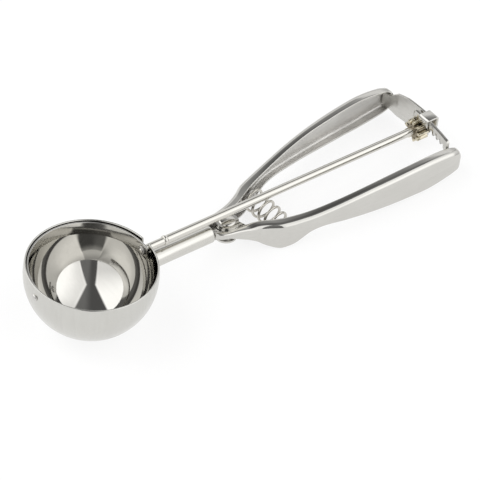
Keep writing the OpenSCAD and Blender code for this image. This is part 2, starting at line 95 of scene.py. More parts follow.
class Nodes:
    """The nodes of one material or of the studio's light."""

    def __init__(self, tree):
        self.tree = tree

    def node(self, kind, settings=None, sockets=None, take=0):
        made = self.tree.nodes.new(kind)
        for name, value in (settings or {}).items():
            setattr(made, name, value)
        for name, value in (sockets or {}).items():
            if isinstance(value, Reading):
                self.tree.links.new(value.socket, made.inputs[name])
            else:
                made.inputs[name].default_value = value
        return Reading(self, made.outputs[take])

    def band(self, value, low, high):
        return self.node("ShaderNodeMapRange", {"interpolation_type": "SMOOTHSTEP"},
                         {"Value": value, "From Min": low, "From Max": high})

    def feed(self, node, socket, reading):
        self.tree.links.new(reading.socket, node.inputs[socket])


def metal(name, tint, shade, roughness, uneven, grain=(1, 1, 1), grain_size=900, grain_depth=0.0,
          dull=0.0):
    """Metal with polishing lines drawn out along one axis, faint smears, and a rub of duller metal.
    grain_depth is in mm, and uneven and dull say how much the roughness rises in lines and smears."""
    material = bpy.data.materials.new(name)
    material.use_nodes = True
    nodes = Nodes(material.node_tree)
    surface = material.node_tree.nodes["Principled BSDF"]
    surface.inputs["Metallic"].default_value = 1.0
    place = nodes.node("ShaderNodeTexCoord", take="Object")
    along = nodes.node("ShaderNodeMapping", {}, {"Vector": place, "Scale": grain, "Rotation": (0, -TILT, 0)})
    lines = nodes.node("ShaderNodeTexNoise", {}, {"Vector": along, "Scale": grain_size, "Detail": 4.0,
                                                 "Roughness": 0.65})
    smears = nodes.node("ShaderNodeTexNoise", {}, {"Vector": place, "Scale": 70.0, "Detail": 3.0,
                                                  "Roughness": 0.55})
    marks = nodes.band(lines, 0.32, 0.72)
    patches = nodes.band(smears, 0.35, 0.7)
    colour = nodes.node("ShaderNodeMix", {"data_type": "RGBA"}, {
        "Factor": marks * 0.45 + patches * 0.35, 6: (*tint, 1), 7: (*shade, 1)}, take=2)
    nodes.feed(surface, "Base Color", colour)
    nodes.feed(surface, "Roughness", roughness + marks * uneven + patches * (uneven * 0.8 + dull))
    if grain_depth:
        bump = nodes.node("ShaderNodeBump", {}, {"Strength": 0.5, "Distance": grain_depth / 1000,
                                                "Height": lines})
        nodes.feed(surface, "Normal", bump)
    return material


def mesh_piece(name, points, faces, material, body, node, sharp=35, round_edges=0.0,
               lining=None, lined=()):
    """A piece from points in the scoop's own frame, smooth but for its edges, riding on a body in
    place of a node of the frame. The lined faces get a second material, the lining."""
    mesh = bpy.data.meshes.new(name)
    mesh.from_pydata([lay(p) for p in points], [], faces)
    for face in lined:
        mesh.polygons[face].material_index = 1
    joined = bmesh.new()
    joined.from_mesh(mesh)
    bmesh.ops.remove_doubles(joined, verts=joined.verts, dist=1e-7)
    bmesh.ops.recalc_face_normals(joined, faces=joined.faces)
    joined.to_mesh(mesh)
    joined.free()
    mesh.materials.append(material)
    if lining:
        mesh.materials.append(lining)
    piece = bpy.data.objects.new(name, mesh)
    bpy.context.scene.collection.objects.link(piece)
    mesh.shade_smooth()
    if round_edges:
        bevel = piece.modifiers.new("rounded edges", "BEVEL")
        bevel.width = round_edges / 1000
        bevel.segments = 3
        bevel.limit_method = "ANGLE"
        bevel.angle_limit = radians(sharp)
        bevel.harden_normals = True
        settle(piece)
        piece.data.set_sharp_from_angle(angle=radians(60))
    else:
        mesh.set_sharp_from_angle(angle=radians(sharp))
    if body:
        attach(piece, body)
    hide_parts(node)
    return piece


def settle(piece):
    """Turns what the piece's modifiers make into its own mesh."""
    graph = bpy.context.evaluated_depsgraph_get()
    mesh = bpy.data.meshes.new_from_object(piece.evaluated_get(graph))
    piece.modifiers.clear()
    piece.data = mesh


def sweep(start, stop, steps):
    """Evenly spaced angles from start to stop, both included."""
    return [start + (stop - start) * i / steps for i in range(steps + 1)]


def skin(rings, n, closed=False):
    """Faces that join rings of n points in a row, with a face at each end unless the row is closed."""
    faces = []
    for i in range(rings if closed else rings - 1):
        a, b = i * n, (i + 1) % rings * n
        faces += [(a + j, b + j, b + (j + 1) % n, a + (j + 1) % n) for j in range(n)]
    if not closed:
        faces += [tuple(range(n - 1, -1, -1)), tuple(range((rings - 1) * n, rings * n))]
    return faces


def turned(profile, steps, place):
    """Points and faces of a closed profile of (radius, height) pairs turned round an axis.
    place gives the point at a radius, an angle and a height."""
    points = []
    for i in range(steps):
        points += [place(r, 2 * pi * i / steps, h) for r, h in profile]
    return points, skin(steps, len(profile), closed=True)


def round_z(x0):
    return lambda r, a, h: (x0 + r * cos(a), r * sin(a), h)


def round_x(r, a, h):
    return (h, r * cos(a), r * sin(a))


mirror_steel = metal("mirror steel", (0.62, 0.61, 0.58), (0.58, 0.57, 0.54), 0.03, 0.02,
                     grain=(1, 0.05, 1), grain_size=500, dull=0.01)
gloss_steel = metal("gloss steel", (0.61, 0.605, 0.575), (0.57, 0.56, 0.53), 0.16, 0.05,
                    grain=(1, 1, 0.06), grain_size=700, grain_depth=0.002, dull=0.03)

rim_r = BOWL_WALL / 2
rim_angle = asin((RIM_Z - rim_r) / (BALL_R - rim_r))
rim_x, rim_z = (BALL_R - rim_r) * cos(rim_angle), (BALL_R - rim_r) * sin(rim_angle)
meridian = sweep(-pi / 2, rim_angle, 90)
bowl_profile = [(BALL_R * cos(a), BALL_R * sin(a)) for a in meridian]
bowl_profile[0] = (POLE_R, -BALL_R)
bowl_profile += [(rim_x + rim_r * cos(a), rim_z + rim_r * sin(a))
                 for a in sweep(rim_angle, rim_angle + pi, 8)[1:-1]]
bowl_profile += [(INNER_R * cos(a), INNER_R * sin(a)) for a in reversed(meridian)]
bowl_profile[-1] = (POLE_R, -INNER_R)
points, faces = turned(bowl_profile, 240, round_z(0))
bowl = mesh_piece("bowl_shell", points, faces, gloss_steel, "frame", "bowl")
bowl.data.materials.append(mirror_steel)
slot_outline = [(SLOT_R * cos(a), SLOT_R * sin(a)) for a in sweep(pi, 2 * pi, 16)]
slot_outline += [(SLOT_R, SLOT_TOP_Z), (-SLOT_R, SLOT_TOP_Z)]
cutter_mesh = bpy.data.meshes.new("slot")
cutter_mesh.from_pydata([lay((x, y, z)) for x in (BALL_R / 2, BALL_R + 10) for y, z in slot_outline], [],
                        skin(2, len(slot_outline)))
outward = bmesh.new()
outward.from_mesh(cutter_mesh)
bmesh.ops.recalc_face_normals(outward, faces=outward.faces)
outward.to_mesh(cutter_mesh)
outward.free()
cutter = bpy.data.objects.new("slot", cutter_mesh)
bpy.context.scene.collection.objects.link(cutter)
cut = bowl.modifiers.new("slot", "BOOLEAN")
cut.object = cutter
cut.solver = "EXACT"
settle(bowl)
bpy.data.objects.remove(cutter)
centre = lay((0, 0, 0))
normals = []
for polygon in bowl.data.polygons:
    polygon.use_smooth = True
    polygon.material_index = int((polygon.center - centre).length * 1000 < INNER_R + 0.05)
    radii = [(bowl.data.vertices[v].co - centre).length * 1000 for v in polygon.vertices]
    for v in polygon.vertices:
        out = (bowl.data.vertices[v].co - centre).normalized()
        if min(radii) > BALL_R - 0.02:
            normals.append(out)
        elif max(radii) < INNER_R + 0.02:
            normals.append(-out)
        elif abs(polygon.normal.dot(out)) < 0.05:
            normals.append(polygon.normal.copy())
        else:
            normals.append(Vector((0, 0, 0)))
bowl.data.normals_split_custom_set(normals)

# ---- Front pin and washer --------------------------------------------------------------------
# A small domed rivet goes through the front of the bowl, and the blade's front eye turns on it.
# It is turned from bright bar and riveted over; a thin washer keeps the blade off the wall.
PIN_R, PIN_HEAD_R, PIN_DOME = 1.0, 1.7, 0.98
WASHER_R, WASHER_HOLE_R = 2.4, 1.01
AXIS_R = 0.01
bright_pin = metal("bright pin", (0.62, 0.61, 0.59), (0.48, 0.47, 0.45), 0.14, 0.08, grain=(1, 0.1, 0.1),
                   grain_size=2500, grain_depth=0.004)
plain_washer = metal("plain washer", (0.54, 0.53, 0.51), (0.42, 0.41, 0.39), 0.26, 0.08, grain_size=2200,
                     grain_depth=0.006)
dome = [(PIN_HEAD_R * sin(a), -BALL_R - 0.2 - PIN_DOME * cos(a)) for a in sweep(0, pi / 2, 10)]
dome[0] = (AXIS_R, dome[0][1])
points, faces = turned(
    dome + [(PIN_HEAD_R - 0.05, -29.75), (1.3, -29.7), (PIN_R, -29.65), (PIN_R, -27.75),
            (PIN_HEAD_R - 0.2, -27.7), (PIN_HEAD_R, -27.55), (PIN_HEAD_R, -27.3), (PIN_HEAD_R - 0.3, -27.05),
            (AXIS_R, -26.98)], 40, round_x)
mesh_piece("front_rivet", points, faces, bright_pin, "frame", "front_pin")
points, faces = turned(
    [(WASHER_HOLE_R, -28.98), (WASHER_R - 0.1, -28.98), (WASHER_R, -28.9), (WASHER_R, -28.72),
     (WASHER_R - 0.1, -28.66), (WASHER_HOLE_R, -28.66)], 40, round_x)
mesh_piece("front_spacer", points, faces, plain_washer, "frame", "front_washer")

# ---- Shaft tube and braze --------------------------------------------------------------------
# The shaft is rolled from sheet, with its seam low on the near side, and polished with the rod.
# Its front end is shaped to the bowl and brazed to it all round.
TUBE_R, TUBE_WALL = 4.2, 0.8
TUBE_Z = -8.6
TUBE_END_X = 65.9
TUBE_EDGE, TUBE_BORE_EDGE = 0.18, 0.12
SEAM, SEAM_DEPTH, SEAM_HALF_WIDTH = radians(-173), 0.3, 0.34
BEAD_R = 0.55
tube_steel = metal("tube steel", (0.64, 0.63, 0.595), (0.59, 0.58, 0.545), 0.07, 0.04, grain=(0.04, 1, 1),
                   grain_size=1500, grain_depth=0.002, dull=0.02)
braze = metal("braze", (0.72, 0.70, 0.66), (0.50, 0.48, 0.44), 0.3, 0.12, grain_size=1400,
              grain_depth=0.03)


def seamed_r(angle):
    """The tube's outer radius, which dips into a groove along the seam."""
    away = abs((angle - SEAM + pi) % (2 * pi) - pi) * TUBE_R
    return TUBE_R - SEAM_DEPTH * max(0.0, 1 - away / SEAM_HALF_WIDTH)


def ball_x(y, z):
    """How far forward the ball's surface stands behind a point of the tube's end."""
    return sqrt(BALL_R ** 2 - y * y - z * z)


steps = 180
stations = [0.0, 0.02, 0.5, 0.97, 0.99, 1.0]
points = []
for a in sweep(0, 2 * pi, steps)[:-1]:
    for shares, radius, edge in ((stations, seamed_r(a), -TUBE_EDGE),
                                 (reversed(stations), TUBE_R - TUBE_WALL, TUBE_BORE_EDGE)):
        for share in shares:
            r = radius + (edge if share in (0.0, 1.0) else 0.0)
            y, z = r * cos(a), TUBE_Z + r * sin(a)
            start = ball_x(y, z) + 0.05
            points.append((start + (TUBE_END_X - start) * share, y, z))
faces = skin(steps, 2 * len(stations), closed=True)
mesh_piece("shaft", points, faces, tube_steel, "frame", "shaft_tube", sharp=50)
steps = 120
points = []
for a in sweep(0, 2 * pi, steps)[:-1]:
    bead_r = BEAD_R * (1 + 0.12 * sin(9 * a) + 0.08 * sin(23 * a + 1))
    for b in sweep(0, 2 * pi, 8)[:-1]:
        r = TUBE_R + 0.1 + bead_r * cos(b)
        y, z = r * cos(a), TUBE_Z + r * sin(a)
        points.append((ball_x(y, z) + 0.15 + bead_r * sin(b), y, z))
faces = skin(steps, 8, closed=True)
mesh_piece("bowl_bead", points, faces, braze, "frame", "bowl_weld")

# ---- Pivot -----------------------------------------------------------------------------------
# A folded fork in the end of the tube carries one large nickel-plated rivet, domed at both ends.
# A sleeve, two washers and both handles' ears are stacked on it.
PIVOT_X = 75.5
RIVET_R, RIVET_HEAD_R, SLEEVE_R = 3.0, 4.0, 4.0
STACK_TOP, STACK_BOTTOM = -5.0, -14.1
FORK_TOP, FORK_BOTTOM, FORK_T = -7.45, -11.65, 0.9
FORK_X, FORK_EAR_R = 52.0, 4.6
PIVOT_WASHER_R = 4.35
fork_steel = metal("fork steel", (0.54, 0.53, 0.51), (0.44, 0.43, 0.41), 0.2, 0.08, grain=(0.1, 1, 1),
                   grain_size=1600, grain_depth=0.004)
rivet_nickel = metal("rivet nickel", (0.64, 0.625, 0.59), (0.58, 0.565, 0.53), 0.06, 0.05, grain_size=1800,
                     grain_depth=0.002)


def plate(outline, low, high):
    """Points and faces of a flat plate between two heights."""
    n = len(outline)
    return ([(x, y, z) for z in (low, high) for x, y in outline],
            [tuple(range(n - 1, -1, -1)), tuple(range(n, 2 * n))] +
            [(j, (j + 1) % n, (j + 1) % n + n, j + n) for j in range(n)])


def together(*solids):
    """Points and faces of several solids as one piece."""
    points, faces = [], []
    for more_points, more_faces in solids:
        faces += [tuple(v + len(points) for v in f) for f in more_faces]
        points += more_points
    return points, faces


def fork_outline(half_width):
    near_side = [(FORK_X, -half_width), (66.1, -half_width), (66.2, -2), (67, -2), (70.5, -3.12),
                 (74, -4.28)]
    ear = [(PIVOT_X + FORK_EAR_R * cos(a), FORK_EAR_R * sin(a))
           for a in sweep(radians(-100), radians(100), 24)]
    return near_side + ear + [(x, -y) for x, y in reversed(near_side)]


def pivot_ring(outer_r, low, high):
    """A sleeve or washer on the rivet."""
    hole_r = RIVET_R + 0.01
    return turned([(hole_r, low), (outer_r, low), (outer_r, high), (hole_r, high)], 64, round_z(PIVOT_X))


fold = [(FORK_X, -1.4), (FORK_X + FORK_T, -1.4), (FORK_X + FORK_T, 1.4), (FORK_X, 1.4)]
points, faces = together(plate(fork_outline(2), FORK_TOP - FORK_T, FORK_TOP),
                         plate(fork_outline(1.4), FORK_BOTTOM, FORK_BOTTOM + FORK_T),
                         plate(fold, FORK_BOTTOM + 0.2, FORK_TOP - 0.2))
mesh_piece("fork", points, faces, fork_steel, "frame", "pivot_fork", round_edges=0.15)
lower_head = [(AXIS_R, 1.1), (1.2, 1.06), (2.4, 0.9), (3.2, 0.6), (3.65, 0.3), (3.8, 0.02), (RIVET_R, 0)]
upper_head = [(RIVET_R, 0), (3.96, 0.01), (RIVET_HEAD_R, 0.06), (3.96, 0.18), (3.8, 0.34), (3.2, 0.58),
              (2.5, 0.73), (1.7, 0.85), (0.9, 0.92), (AXIS_R, 0.94)]
points, faces = turned([(r, STACK_BOTTOM - h) for r, h in lower_head]
                       + [(r, STACK_TOP + h) for r, h in upper_head], 96, round_z(PIVOT_X))
mesh_piece("domed_rivet", points, faces, rivet_nickel, "frame", "pivot_rivet", sharp=70)
points, faces = pivot_ring(SLEEVE_R, -10.72, -9.47)
mesh_piece("pivot_sleeve", points, faces, plain_washer, "frame", "pivot_spacer",
           round_edges=0.1)
points, faces = together(pivot_ring(PIVOT_WASHER_R, FORK_TOP + 0.01, FORK_TOP + 0.29),
                         pivot_ring(PIVOT_WASHER_R, FORK_BOTTOM - 1.34, FORK_BOTTOM - 0.01))
mesh_piece("thin_washers", points, faces, plain_washer, "frame", "pivot_washers")

# ---- Handles ---------------------------------------------------------------------------------
# Both handles are channels drawn from 1 mm sheet, open inwards and closed at the back, with a
# swelling that stops the finger. Outside they are polished lengthwise, inside they stay satin.
# The far one is brazed to the shaft; the near one is the lever, and its ears turn on the rivet.
HANDLE_T = 1.0
HANDLE_END_X, HANDLE_END_R = 190.8, 2.6
LIP_W, LIP_R = 0.3, 0.3
NEAR_TOP, NEAR_BOTTOM = -6.05, -9.4
EAR_R = 5.4
EAR_FLANGE_ANGLE, EAR_ROOT_ANGLE = radians(24.2), radians(-206.6)
# Stations along the rod: position, outer face, inner lip, top, bottom, and the radii of the top
# and bottom corners.
near_neck = [
    (66.3, 3.4, 1.7, NEAR_TOP, NEAR_BOTTOM, 0.7, 0.9),
    (67.4, 4.9, 2.6, NEAR_TOP, NEAR_BOTTOM, 0.7, 0.9),
    (69.2, 6.3, 3.4, NEAR_TOP, NEAR_BOTTOM, 0.7, 1.0),
    (72.0, 7.3, 4.0, NEAR_TOP, NEAR_BOTTOM, 0.8, 1.2),
    (76.0, 8.1, 4.8, NEAR_TOP, NEAR_BOTTOM - 1.6, 0.9, 1.4),
    (79.0, 8.9, 5.1, NEAR_TOP, -12.2, 1.0, 1.6),
    (82.0, 9.9, 5.7, NEAR_TOP, -13.3, 1.3, 1.8),
    (86.0, 11.4, 6.9, -5.35, -15.1, 2.1, 1.8),
    (90.0, 13.5, 8.5, -5.0, -17.5, 2.4, 1.5)]
far_neck = [
    (64.0, 5.6, 3.6, STACK_TOP, STACK_BOTTOM, 1.4, 1.4),
    (72.0, 7.2, 4.0, STACK_TOP, STACK_BOTTOM, 1.5, 1.5),
    (79.0, 8.8, 4.9, STACK_TOP, STACK_BOTTOM, 1.7, 1.7),
    (84.0, 10.5, 6.1, -5.1, -15.3, 1.9, 1.9),
    (90.0, 13.5, 8.5, -5.0, -17.6, 2.2, 1.6)]
grip = [
    (95.0, 16.6, 11.0, -4.7, -19.0, 2.4, 1.4),
    (98.5, 17.9, 12.5, -4.4, -18.5, 2.5, 1.5),
    (102.0, 18.9, 13.8, -4.0, -17.5, 2.5, 1.8),
    (109.0, 20.7, 15.9, -3.0, -12.9, 2.5, 2.3),
    (116.0, 22.2, 17.6, -1.6, -11.4, 2.5, 2.5),
    (126.0, 24.1, 19.6, 0.6, -11.5, 2.6, 2.6),
    (138.0, 25.9, 21.3, 3.0, -11.5, 2.7, 2.7),
    (150.0, 27.3, 22.3, 4.8, -11.2, 2.8, 2.8),
    (162.0, 28.2, 23.1, 6.3, -10.6, 2.8, 2.8),
    (172.0, 28.7, 23.4, 7.0, -9.9, 2.8, 2.8),
    (184.0, 28.6, 23.2, 6.3, -7.6, 2.8, 2.8),
    (HANDLE_END_X, 28.0, 23.6, 4.4, -6.1, 2.8, 2.8)]
POSITION, OUTER, LIP, TOP, BOTTOM, TOP_R, BOTTOM_R = range(7)
satin_inside = metal("satin inside", (0.63, 0.62, 0.595), (0.55, 0.54, 0.52), 0.36, 0.08,
                     grain=(0.03, 1, 1), grain_size=1300, grain_depth=0.006, dull=0.05)
handle_polish = metal("handle polish", (0.62, 0.61, 0.58), (0.575, 0.565, 0.535), 0.05, 0.03,
                      grain=(0.025, 1, 1), grain_size=1100, grain_depth=0.002, dull=0.03)


def slope_at(table, column, i):
    before, after = table[max(i - 1, 0)], table[min(i + 1, len(table) - 1)]
    return (after[column] - before[column]) / (after[POSITION] - before[POSITION])


def along(table, column, x):
    """Value of a column of the stations at a position, on a smooth cubic through the stations."""
    i = 1
    while i < len(table) - 1 and x >= table[i][POSITION]:
        i += 1
    a, b = table[i - 1], table[i]
    h = b[POSITION] - a[POSITION]
    t = (x - a[POSITION]) / h
    bend = (1 - t) * slope_at(table, column, i - 1) - t * slope_at(table, column, i)
    return (1 + 2 * t) * (1 - t) ** 2 * a[column] + t * t * (3 - 2 * t) * b[column] + h * t * (1 - t) * bend


def channel_section(table, side, x, place_x, pull, inside):
    """The channel's section at x, from the top lip round to the bottom lip, drawn at place_x and
    pulled in all round by pull. The inner skin lies a wall further in."""
    wall = HANDLE_T if inside else 0.0
    out_y, lip_y = along(table, OUTER, x) - pull - wall, along(table, LIP, x)
    top = max(along(table, TOP, x), table[0][TOP]) - pull - wall
    bottom = along(table, BOTTOM, x)
    if x < PIVOT_X + 0.5:
        bottom = min(bottom, table[0][BOTTOM])
    bottom += pull + wall
    r, r_low = (max(along(table, column, x) - wall, 0.3) for column in (TOP_R, BOTTOM_R))
    corner = sweep(0, pi / 2, 8)
    lip = [(lip_y, LIP_R), (lip_y + 0.04, LIP_R / 2), (lip_y + LIP_W / 2, 0.04), (lip_y + LIP_W, 0.0)]
    flange_y = lip_y + LIP_W
    lift = -1 if inside else 1
    section = [(y, top - lift * z) for y, z in lip]
    section += [(flange_y + (out_y - r - flange_y) * i / 3, top) for i in (1, 2)]
    section += [(out_y - r + r * sin(a), top - r + r * cos(a)) for a in corner]
    section += [(out_y, top - r + (bottom + r_low - top + r) * i / 8) for i in range(1, 8)]
    section += [(out_y - r_low + r_low * cos(a), bottom + r_low - r_low * sin(a)) for a in corner]
    section += [(flange_y + (out_y - r_low - flange_y) * i / 3, bottom) for i in (2, 1)]
    section += [(y, bottom + lift * z) for y, z in reversed(lip)]
    return [(place_x, side * y, z) for y, z in section]


def handle(side, table):
    """Points and faces of a channel, and the numbers of the faces inside it."""
    first, last = table[0][POSITION], HANDLE_END_X - HANDLE_END_R
    shares = [i / 150 - 0.6 * sin(2 * pi * i / 150) / (2 * pi) for i in range(150)]
    end_turn = sweep(0, pi / 2, 10)
    points, faces = [], []
    for inside in (False, True):
        r = HANDLE_END_R - (HANDLE_T if inside else 0.0)
        for share in shares:
            x = first + (last - first) * share
            points += channel_section(table, side, x, x, 0.0, inside)
        for a in end_turn:
            points += channel_section(table, side, last + HANDLE_END_R * sin(a) * 0.99, last + r * sin(a),
                                      r * (1 - cos(a)), inside)
    rows = len(shares) + len(end_turn)
    inner = len(points) // 2
    n = inner // rows
    for start in (0, inner):
        before = len(faces)
        for i in range(rows - 1):
            a = start + i * n
            faces += [(a + j, a + j + 1, a + n + j + 1, a + n + j) for j in range(n - 1)]
        a = start + (rows - 1) * n
        faces += [(a + j, a + j + 1, a + n - 2 - j, a + n - 1 - j) for j in range(n // 2 - 1)]
    lined = range(before, len(faces))
    faces += [(j, j + 1, inner + j + 1, inner + j) for j in range(n - 1)]
    for i in range(rows - 1):
        for j in (0, n - 1):
            a = i * n + j
            faces.append((a, a + n, inner + a + n, inner + a))
    a = (rows - 1) * n
    faces.append((a, a + n - 1, inner + a + n - 1, inner + a))
    return (points, faces), lined


def ear_outline(side, root_x):
    """A round ear with its root, which lies on the channel's flange as far as root_x."""
    reach = root_x - PIVOT_X
    start = EAR_FLANGE_ANGLE if reach > EAR_R - 0.5 else acos(reach / EAR_R)
    return ([(PIVOT_X + EAR_R * cos(a), side * EAR_R * sin(a)) for a in sweep(start, EAR_ROOT_ANGLE, 48)]
            + [(PIVOT_X - 6.2, side * 4.4), (root_x - 2, side * 6.2), (root_x, side * 6.4)])


for name, side, body, neck, ears in (
        ("far", 1, "frame", far_neck, ((STACK_TOP - HANDLE_T, 6.5), (STACK_BOTTOM, 6.5))),
        ("near", -1, "lever", near_neck, ((NEAR_TOP - HANDLE_T, 6.5), (NEAR_BOTTOM, 0.5)))):
    shell, lined = handle(side, neck + grip)
    points, faces = together(shell, *(plate(ear_outline(side, PIVOT_X + root), low, low + HANDLE_T)
                                      for low, root in ears))
    mesh_piece(name + "_grip", points, faces, handle_polish, body, name + "_handle",
               sharp=46, lining=satin_inside, lined=lined)

# ---- Neck braze ------------------------------------------------------------------------------
# The far handle is held still by a block of braze between its neck and the end of the shaft.
# It is poured in and left rough, and only its edge shows from behind.
points, faces = plate([(59.2, 4.25), (66, 4.25), (66.1, 3.2), (68.3, 3.2), (68.3, 5.3), (64.2, 4.5),
                       (63.9, 5.3), (59.6, 5.3)], TUBE_Z - 2.2, TUBE_Z + 1.6)
mesh_piece("neck_block", points, faces, braze, "frame", "neck_weld", round_edges=0.3)

# ---- Spring seats ----------------------------------------------------------------------------
# A domed stud is riveted inside each handle, and an end of the spring fits over it.
# Both are plain turned steel.
SPRING_X, SPRING_Z = 99.3, -11.3
SEAT_R, SEAT_TOP_Y, SEAT_GAP = 3.6, 11.25, 0.42
web_y = along(grip, OUTER, SPRING_X) - HANDLE_T - SEAT_GAP
web_rise = (along(grip, OUTER, SPRING_X + 3) - along(grip, OUTER, SPRING_X - 3)) / 6
stud_dome = [(AXIS_R, 0), (1.2, 0.05), (2.4, 0.25), (3.15, 0.65), (3.5, 1.25), (SEAT_R, 1.95)]
steps = 48
for name, side, body in (("far", 1, "frame"), ("near", -1, "lever")):
    points = []
    for r, drop in stud_dome + [(SEAT_R, 99)]:
        for a in sweep(0, 2 * pi, steps)[:-1]:
            web = web_y + r * cos(a) * web_rise
            points.append((SPRING_X + r * cos(a), side * min(SEAT_TOP_Y + drop, web), SPRING_Z + r * sin(a)))
    faces = skin(len(stud_dome) + 1, steps)
    mesh_piece(name + "_stud", points, faces, plain_washer, body, name + "_spring_seat")

# ---- Return spring ---------------------------------------------------------------------------
# A compression spring of bright drawn wire pushes the handles apart. Its two ends bend outwards
# and stand on the handles' webs, beside the studs.
COIL_R, WIRE_R, TURNS, COIL_HALF = 5.1, 0.65, 6, 13.6
WIRE_BEND, WIRE_FOOT = 0.7, 0.2
WEB_Y = 14.0
spring_wire = metal("spring wire", (0.59, 0.57, 0.52), (0.47, 0.45, 0.41), 0.07, 0.04, grain_size=1800,
                    grain_depth=0.002, dull=0.03)


def coil_point(turn):
    a = 2 * pi * turn
    return Vector((SPRING_X - COIL_R * cos(a), COIL_HALF * (2 * turn / TURNS - 1),
                   SPRING_Z + COIL_R * sin(a)))


def wire_bend(a, foot=0.0):
    return Vector((0, WIRE_BEND * (1 - cos(a)) + foot, WIRE_BEND * sin(a)))


bends = sweep(0, pi / 2, 8)[1:]
route = [coil_point(0) - wire_bend(pi / 2, WIRE_FOOT * k) for k in (1, 0.5)]
route += [coil_point(0) - wire_bend(a) for a in reversed(bends)]
route += [coil_point(i / 48) for i in range(TURNS * 48 + 1)]
route += [coil_point(TURNS) + wire_bend(a) for a in bends]
route += [coil_point(TURNS) + wire_bend(pi / 2, WIRE_FOOT * k) for k in (0.5, 1)]
wire_turn = sweep(0, 2 * pi, 16)[:-1]
points = []
for before, middle, after in zip(route[:1] + route, route, route[1:] + route[-1:]):
    course = (after - before).normalized()
    out = Vector((middle.x - SPRING_X, 0, middle.z - SPRING_Z)).normalized()
    beside = course.cross(out).normalized()
    square = beside.cross(course)
    points += [middle + WIRE_R * (cos(a) * square + sin(a) * beside) for a in wire_turn]
faces = skin(len(route), len(wire_turn))
spring = mesh_piece("coil_spring", points, faces, spring_wire, None, "return_spring", sharp=50)
lay((SPRING_X, WEB_Y, SPRING_Z))
lay((SPRING_X, -WEB_Y, SPRING_Z))
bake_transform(spring)

# ---- Drive rod -------------------------------------------------------------------------------
# The rod is a drawn tube, nickel plated and polished, with solid spindles pressed into its ends.
# The front one is thinner and passes through the bowl's slot; a crimped collar marks the joint.
ROD_R, ROD_EDGE, SPINDLE_R, CORE_R = 1.95, 0.15, 1.75, 1.3
COLLAR_X, COLLAR_R, COLLAR_HALF = 40.0, 2.3, 0.8
PINION_X, PINION_LEN = 183.3, 6.2
ROD_END_X, TAIL_X = PINION_X + PINION_LEN, 192.7
rod_nickel = metal("rod nickel", (0.655, 0.64, 0.60), (0.61, 0.595, 0.55), 0.06, 0.04, grain=(0.03, 1, 1),
                   grain_size=1500, grain_depth=0.0015, dull=0.03)
points, faces = turned(
    [(CORE_R, COLLAR_X + COLLAR_HALF), (ROD_R - ROD_EDGE, COLLAR_X + COLLAR_HALF),
     (ROD_R, COLLAR_X + COLLAR_HALF + 0.2), (ROD_R, 90), (ROD_R, 140), (ROD_R, ROD_END_X - ROD_EDGE),
     (ROD_R - ROD_EDGE, ROD_END_X), (CORE_R, ROD_END_X)], 64, round_x)
mesh_piece("rod_tube", points, faces, rod_nickel, "sweeper", "drive_rod")
points, faces = turned(
    [(AXIS_R, 26.3), (CORE_R - 0.3, 26.35), (CORE_R, 26.6), (CORE_R, 28.65), (SPINDLE_R - 0.2, 28.65),
     (SPINDLE_R, 28.85), (SPINDLE_R, COLLAR_X + 0.9), (AXIS_R, COLLAR_X + 0.9)], 56, round_x)
mesh_piece("front_spindle_turned", points, faces, rod_nickel, "sweeper", "front_spindle")
half_collar = [(COLLAR_R, 0.2), (COLLAR_R - 0.1, 0.6), (COLLAR_R - 0.3, COLLAR_HALF),
               (SPINDLE_R, COLLAR_HALF)]
points, faces = turned([(r, COLLAR_X - h) for r, h in reversed(half_collar)]
                       + [(r, COLLAR_X + h) for r, h in half_collar], 56, round_x)
mesh_piece("crimped_collar", points, faces, rod_nickel, "sweeper", "rod_collar")
points, faces = turned(
    [(AXIS_R, 189), (CORE_R, 189), (CORE_R, TAIL_X), (CORE_R + 0.5, TAIL_X + 0.02),
     (CORE_R + 0.6, TAIL_X + 0.3), (CORE_R + 0.3, TAIL_X + 0.66), (0.8, TAIL_X + 0.8),
     (AXIS_R, TAIL_X + 0.8)], 48, round_x)
mesh_piece("peened_tail", points, faces, bright_pin, "sweeper", "tail_spindle")

# ---- Pinion ----------------------------------------------------------------------------------
# Nine teeth cut across a brass blank, nickel plated like the rod but worn a little yellow, and
# pressed on the end of the tube. The gaps between the teeth are painted dark brown as painted shade.
TEETH, GEAR_M, PRESSURE = 9, 1.0, radians(20)
PITCH_R = GEAR_M * TEETH / 2
TIP_R, ROOT_R = PITCH_R + GEAR_M, PITCH_R - 1.3 * GEAR_M
BASE_R = PITCH_R * cos(PRESSURE)
BACKLASH = 0.1
pinion_plate = metal("pinion plate", (0.66, 0.61, 0.49), (0.54, 0.48, 0.35), 0.16, 0.1, grain=(0.1, 1, 1),
                     grain_size=1500, grain_depth=0.006, dull=0.05)
nodes = Nodes(pinion_plate.node_tree)
surface = pinion_plate.node_tree.nodes["Principled BSDF"]
unshaded_colour = surface.inputs["Base Color"].links[0].from_socket
place = nodes.node("ShaderNodeTexCoord", take="Object")
level = nodes.node("ShaderNodeMapping", {"vector_type": "TEXTURE"}, {
    "Vector": place, "Location": lay((0, 0, 0)), "Rotation": (0, TILT, 0)})
off_axis = nodes.node("ShaderNodeVectorMath", {"operation": "MULTIPLY"}, {0: level, 1: (0, 1000, 1000)})
distance = nodes.node("ShaderNodeVectorMath", {"operation": "LENGTH"}, {0: off_axis}, take="Value")
# painted shade: the colour darkens from the pitch circle in to the tooth roots
tooth_gap_shade = nodes.band(distance, PITCH_R + 0.1, ROOT_R + 0.1)
nodes.feed(surface, "Base Color", nodes.node("ShaderNodeMix", {"data_type": "RGBA"}, {
    "Factor": tooth_gap_shade * 0.8, 6: Reading(nodes, unshaded_colour), 7: (0.16, 0.13, 0.09, 1)}, take=2))


def involute(a):
    return tan(a) - a


